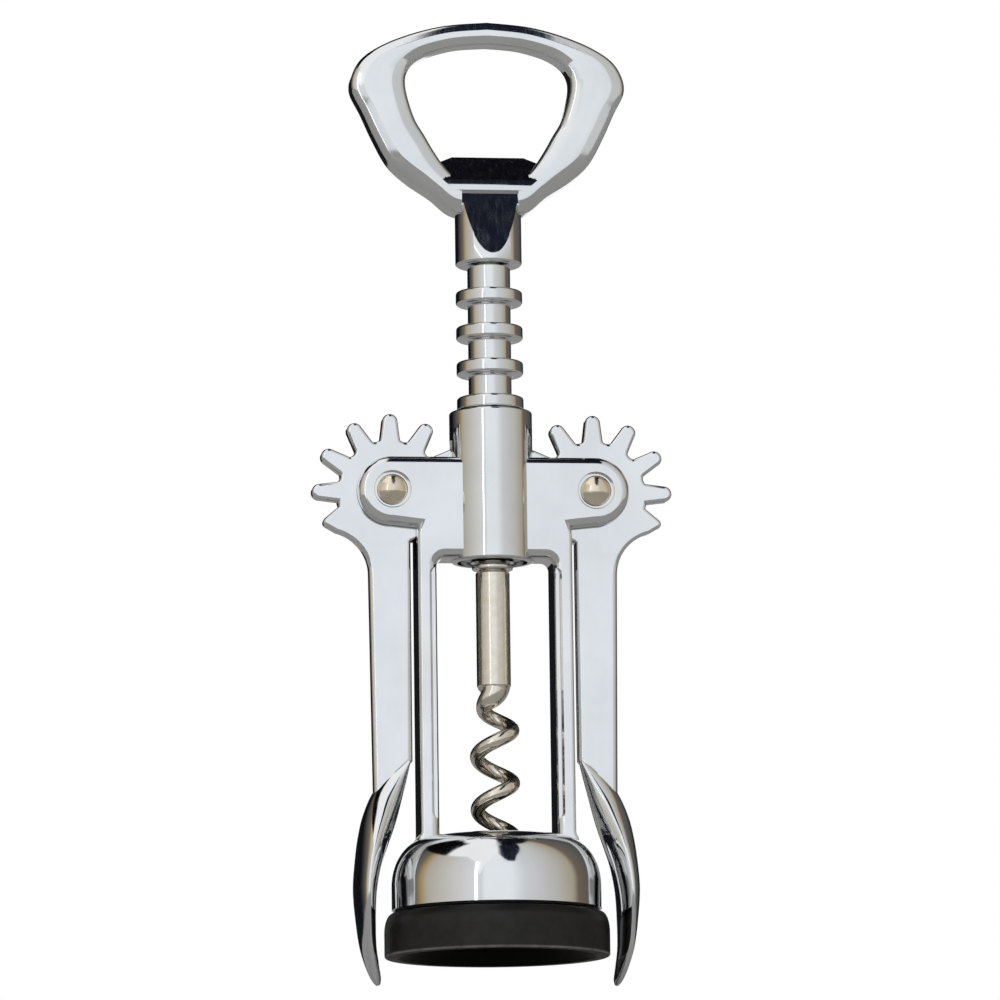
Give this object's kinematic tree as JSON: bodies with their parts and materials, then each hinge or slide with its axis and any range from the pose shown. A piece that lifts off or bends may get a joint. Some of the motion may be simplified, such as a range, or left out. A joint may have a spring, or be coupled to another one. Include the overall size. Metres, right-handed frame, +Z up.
{
  "type": "wing corkscrew",
  "caption": "Wing corkscrew: a bell-footed frame with geared side levers that lift a ringed rack, a worm that turns in it, and a loop handle with a cap lifter.",
  "frame": {"origin": "on the worm's axis, level with the tips of the lowered levers, which are the lowest points", "axes": "+Z up along the worm's axis from bell to handle, +X to the right lever, -Y to the front that the picture shows"},
  "size_m": [0.067, 0.0414, 0.18],
  "materials": {
    "polished_chrome": "bright polished chrome plate on cast zinc",
    "nickel_steel": "nickel-plated steel, slightly warm and polished",
    "black_plastic": "black moulded plastic, satin"
  },
  "bodies": {
    "frame": {"frame": "polished_chrome", "bottle_collar": "black_plastic", "left_pivot_pin": "nickel_steel", "right_pivot_pin": "nickel_steel"},
    "left_lever": {"left_lever": "polished_chrome"},
    "right_lever": {"right_lever": "polished_chrome"},
    "rack": {"rack": "polished_chrome"},
    "spindle": {"handle": "polished_chrome", "worm": "nickel_steel", "thrust_washer": "nickel_steel", "handle_pin": "nickel_steel"}
  },
  "joints": [
    {"name": "left_lever_swing", "type": "hinge", "parent": "frame", "child": "left_lever", "pos_m": [-0.01892, 0, 0.0911], "axis": [0, 1, 0], "range_deg": [0, 155]},
    {"name": "right_lever_swing", "type": "hinge", "parent": "frame", "child": "right_lever", "pos_m": [0.01892, 0, 0.0911], "axis": [0, -1, 0], "range_deg": [0, 155]},
    {"name": "rack_slide", "type": "slide", "parent": "frame", "child": "rack", "axis": [0, 0, -1], "range_m": [0, 0.0345]},
    {"name": "handle_spin", "type": "hinge", "parent": "rack", "child": "spindle", "pos_m": [0, 0, 0.14], "axis": [0, 0, 1], "continuous": true}
  ],
  "couplings": [
    {"joint": "right_lever_swing", "follows": "left_lever_swing", "ratio": 1},
    {"joint": "rack_slide", "follows": "left_lever_swing", "m_per_rad": 0.01272}
  ]
}
